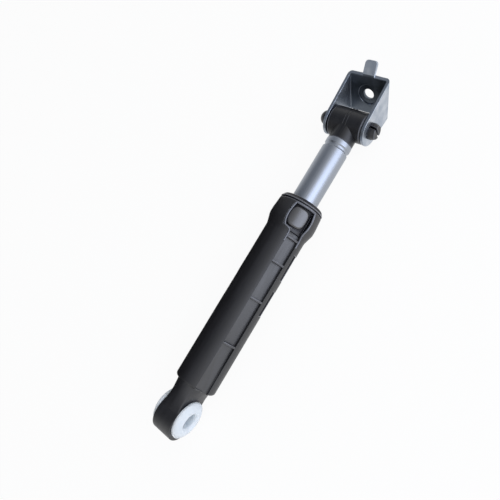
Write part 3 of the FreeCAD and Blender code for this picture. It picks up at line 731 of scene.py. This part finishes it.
def grow(tree, name, points, closed, values, body, node=None):
    """Run a tree on a line through points, keep the plain mesh, and let it ride on a body."""
    mesh = bpy.data.meshes.new(name)
    edges = [(count, count + 1) for count in range(len(points) - 1)]
    if closed:
        edges.append((len(points) - 1, 0))
    mesh.from_pydata(points, edges, [])
    piece = bpy.data.objects.new(name, mesh)
    scene.collection.objects.link(piece)
    modifier = piece.modifiers.new(tree.name, "NODES")
    modifier.node_group = tree
    for item in tree.interface.items_tree:
        if item.in_out == "INPUT" and item.name in values:
            modifier[item.identifier] = values[item.name]
    weights = piece.modifiers.new("flat faces", "WEIGHTED_NORMAL")
    weights.keep_sharp = False
    plain_mesh(piece, name)
    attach(piece, body)
    if node:
        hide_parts(node)
    print(name, "faces:", len(piece.data.polygons))


spin, inputs = geometry_tree("spun outline", {
    "Corner Radius": "NodeSocketFloat", "Steps": "NodeSocketInt", "Turn": "NodeSocketVector",
    "Material": "NodeSocketMaterial"})
outline = add_node(spin, "GeometryNodeMeshToCurve", {"Mesh": inputs["Geometry"]})
rounded = add_node(spin, "GeometryNodeFilletCurve",
                   {"Curve": outline.outputs[0], "Count": FILLET_STEPS, "Radius": inputs["Corner Radius"],
                    "Limit Radius": True}, mode="POLY")
circle = add_node(spin, "GeometryNodeCurvePrimitiveCircle",
                  {"Resolution": inputs["Steps"], "Radius": PATH_RADIUS})
swept = add_node(spin, "GeometryNodeCurveToMesh",
                 {"Curve": circle.outputs[0], "Profile Curve": rounded.outputs[0]})
turned = add_node(spin, "GeometryNodeTransform",
                  {"Geometry": swept.outputs[0], "Rotation": inputs["Turn"]})
end_tree(spin, turned.outputs[0], inputs["Material"])
print("tree:", spin.name, len(spin.nodes), "nodes")

# %% Rod
ROD_WALL = 1.2 * MM
CRIMP_BACK = 5.0 * MM
CRIMP_WIDTH = 1.5 * MM
CRIMP_SLOPE = 0.8 * MM
CRIMP_DEPTH = 0.75 * MM
ROD_CORNER = 0.5 * MM
ABOUT_X = (0.0, -math.pi / 2, 0.0)
ABOUT_Y = (math.pi / 2, 0.0, 0.0)


def spun_outline(corners):
    """Place an outline of (radius, along) beside the circle that it is swept round."""
    return [(radius - PATH_RADIUS, along, 0.0) for radius, along in corners]


rod_low, rod_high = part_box("rod_tube")
rod_radius = rod_high.z
crimp = rod_high.x - CRIMP_BACK
half_crimp = CRIMP_WIDTH / 2
rod_outline = [
    (rod_radius - ROD_WALL, rod_low.x),
    (rod_radius, rod_low.x),
    (rod_radius, crimp - half_crimp - CRIMP_SLOPE),
    (rod_radius - CRIMP_DEPTH, crimp - half_crimp),
    (rod_radius - CRIMP_DEPTH, crimp + half_crimp),
    (rod_radius, crimp + half_crimp + CRIMP_SLOPE),
    (rod_radius, rod_high.x),
    (rod_radius - ROD_WALL, rod_high.x),
]
grow(spin, "bright_rod", spun_outline(rod_outline), True,
     {"Corner Radius": ROD_CORNER, "Steps": ROUND_STEPS, "Turn": ABOUT_X, "Material": rod_chrome},
     BODY_OF["rod_tube"], "rod_tube")

# %% Bush halves
EYE_BORE = 5.1 * MM
BUSH_RADIUS = 10.0 * MM
HALF_EYE = 7.5 * MM
BUSH_RIM = 1.5 * MM
LEAD_IN = 1.5 * MM
BUSH_CORNER = 0.4 * MM
DOME_BULGE = 0.6 * MM
DOME_STEPS = 8
BUSH_HALVES = {"bush_half_left": ("lower_bush_left", 1), "bush_half_right": ("lower_bush_right", -1)}


def dome_points(start, end, bulge, steps):
    """Points on a shallow bow from start to end, both left out."""
    start = Vector(start)
    way = Vector(end) - start
    out = Vector((way.y, -way.x)).normalized() * bulge
    return [tuple(start + way * share + out * 4 * share * (1 - share))
            for share in [count / steps for count in range(1, steps)]]


for name, (node, side) in BUSH_HALVES.items():
    low_corner, high_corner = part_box(node)
    flange = high_corner.z
    top = max(abs(low_corner.y), abs(high_corner.y))
    split = min(abs(low_corner.y), abs(high_corner.y))
    rim = (flange, HALF_EYE + BUSH_RIM)
    mouth = (EYE_BORE + LEAD_IN, top)
    corners = [(EYE_BORE, split), (BUSH_RADIUS, split), (BUSH_RADIUS, HALF_EYE), (flange, HALF_EYE),
               rim]
    corners += dome_points(rim, mouth, DOME_BULGE, DOME_STEPS)
    corners += [mouth, (EYE_BORE, top - LEAD_IN)]
    corners = [(radius, along * side) for radius, along in corners][::side]
    grow(spin, name, spun_outline(corners), True,
         {"Corner Radius": BUSH_CORNER, "Steps": ROUND_STEPS, "Turn": ABOUT_Y,
          "Material": bush_plastic},
         BODY_OF[node], node)

# %% [markdown]
# ## Moulded beads
#
# Thin raised lines frame the latch's window on both sides of the head: two leave the pocket's rails,
# pass round the window and end at the mouth, and a third joins their ends along the mouth. A geometry
# tree sweeps a small circle along each line and turns a copy half round for the back. The lines are
# drawn as (x, angle) on the head, with the angle counted from the top towards the front, and their
# depth follows the head's own radius.

# %% Window beads
HEAD_STATIONS = [(120.0, 14.0), (132.5, 14.0), (139.5, 16.0), (143.5, 16.0), (151.9, 15.3)]
LEFT_LINE = [(126.0, 33.6), (131.0, 33.4), (133.4, 32.4), (134.5, 29.0), (135.0, 23.0), (135.3, 17.0),
             (136.4, 13.6), (139.0, 11.2), (143.0, 10.0), (147.0, 11.1), (151.2, 13.8)]
RIGHT_LINE = [(126.0, 75.4), (131.0, 75.0), (135.0, 70.5), (139.0, 71.0), (143.0, 72.0), (147.0, 70.6),
              (151.2, 67.8)]
TOP_LINE = [(151.3, angle) for angle in (13.8, 27.0, 40.8, 54.5, 67.8)]
BEADS = {"window_bead_left": LEFT_LINE, "window_bead_right": RIGHT_LINE, "window_bead_top": TOP_LINE}
BEAD_RADIUS = 0.55 * MM
BEAD_STEP = 0.6 * MM
BEAD_SUNK = 0.1 * MM

bead, inputs = geometry_tree("bead along a line", {
    "Bead Radius": "NodeSocketFloat", "Step Length": "NodeSocketFloat", "Copies": "NodeSocketInt",
    "Turn": "NodeSocketFloat", "Material": "NodeSocketMaterial"})
line = add_node(bead, "GeometryNodeMeshToCurve", {"Mesh": inputs["Geometry"]})
curved = add_node(bead, "GeometryNodeCurveSplineType", {"Curve": line.outputs[0]},
                  spline_type="CATMULL_ROM")
even = add_node(bead, "GeometryNodeResampleCurve",
                {"Curve": curved.outputs[0], "Length": inputs["Step Length"]}, mode="LENGTH")
wire = add_node(bead, "GeometryNodeCurvePrimitiveCircle",
                {"Resolution": BEAD_STEPS, "Radius": inputs["Bead Radius"]})
swept = add_node(bead, "GeometryNodeCurveToMesh",
                 {"Curve": even.outputs[0], "Profile Curve": wire.outputs[0], "Fill Caps": True})
spots = add_node(bead, "GeometryNodeMeshLine", {"Count": inputs["Copies"], "Offset": (0.0, 0.0, 0.0)})
index = add_node(bead, "GeometryNodeInputIndex")
angle = add_node(bead, "ShaderNodeMath", {0: index.outputs[0], 1: inputs["Turn"]}, operation="MULTIPLY")
about_x = add_node(bead, "ShaderNodeCombineXYZ", {"X": angle.outputs[0]})
copies = add_node(bead, "GeometryNodeInstanceOnPoints",
                  {"Points": spots.outputs[0], "Instance": swept.outputs[0], "Rotation": about_x.outputs[0]})
end_tree(bead, copies.outputs[0], inputs["Material"])


def on_head(x, degrees):
    """The point on the head at x along the damper and an angle from the top towards the front."""
    for (start, first), (end, last) in zip(HEAD_STATIONS, HEAD_STATIONS[1:]):
        if start <= x <= end:
            radius = first + (last - first) * (x - start) / (end - start)
    turn = math.radians(degrees)
    reach = radius * MM - BEAD_SUNK
    return (x * MM, -reach * math.sin(turn), reach * math.cos(turn))


# Each bead is painted pale, a painted highlight along its line.
for name, places in BEADS.items():
    grow(bead, name, [on_head(*place) for place in places], False,
         {"Bead Radius": BEAD_RADIUS, "Step Length": BEAD_STEP, "Copies": 2, "Turn": math.pi,
          "Material": bead_plastic}, BODY_OF["housing"])

# %% [markdown]
# Two fine rings run round the middle of the cross eye, like the marks that a split mould leaves. They
# are one circle, repeated along the pin's axis.

# %% Mould rings on the cross eye
PIN_X = 217.9 * MM
RING_RADIUS = 10.15 * MM
RING_BEAD = 0.3 * MM
RING_GAP = 2.2 * MM

rings, inputs = geometry_tree("row of rings", {
    "Ring Radius": "NodeSocketFloat", "Bead Radius": "NodeSocketFloat", "Count": "NodeSocketInt",
    "Spacing": "NodeSocketFloat", "Material": "NodeSocketMaterial"})
hoop = add_node(rings, "GeometryNodeCurvePrimitiveCircle",
                {"Resolution": ROUND_STEPS, "Radius": inputs["Ring Radius"]})
wire = add_node(rings, "GeometryNodeCurvePrimitiveCircle",
                {"Resolution": BEAD_STEPS, "Radius": inputs["Bead Radius"]})
swept = add_node(rings, "GeometryNodeCurveToMesh",
                 {"Curve": hoop.outputs[0], "Profile Curve": wire.outputs[0]})
upright = add_node(rings, "GeometryNodeTransform", {"Geometry": swept.outputs[0], "Rotation": ABOUT_Y})
start = add_node(rings, "GeometryNodeMeshToPoints", {"Mesh": inputs["Geometry"]})
gap = add_node(rings, "ShaderNodeCombineXYZ", {"Y": inputs["Spacing"]})
row = add_node(rings, "GeometryNodeMeshLine", {"Count": inputs["Count"], "Offset": gap.outputs[0]})
line_up = add_node(rings, "GeometryNodeInstanceOnPoints",
                   {"Points": start.outputs[0], "Instance": row.outputs[0]})
spots = add_node(rings, "GeometryNodeRealizeInstances", {"Geometry": line_up.outputs[0]})
copies = add_node(rings, "GeometryNodeInstanceOnPoints",
                  {"Points": spots.outputs[0], "Instance": upright.outputs[0]})
end_tree(rings, copies.outputs[0], inputs["Material"])
grow(rings, "mould_rings", [(PIN_X, -RING_GAP / 2, 0.0)], False,
     {"Ring Radius": RING_RADIUS, "Bead Radius": RING_BEAD, "Count": 2, "Spacing": RING_GAP,
      "Material": head_plastic}, BODY_OF["rod_head"])
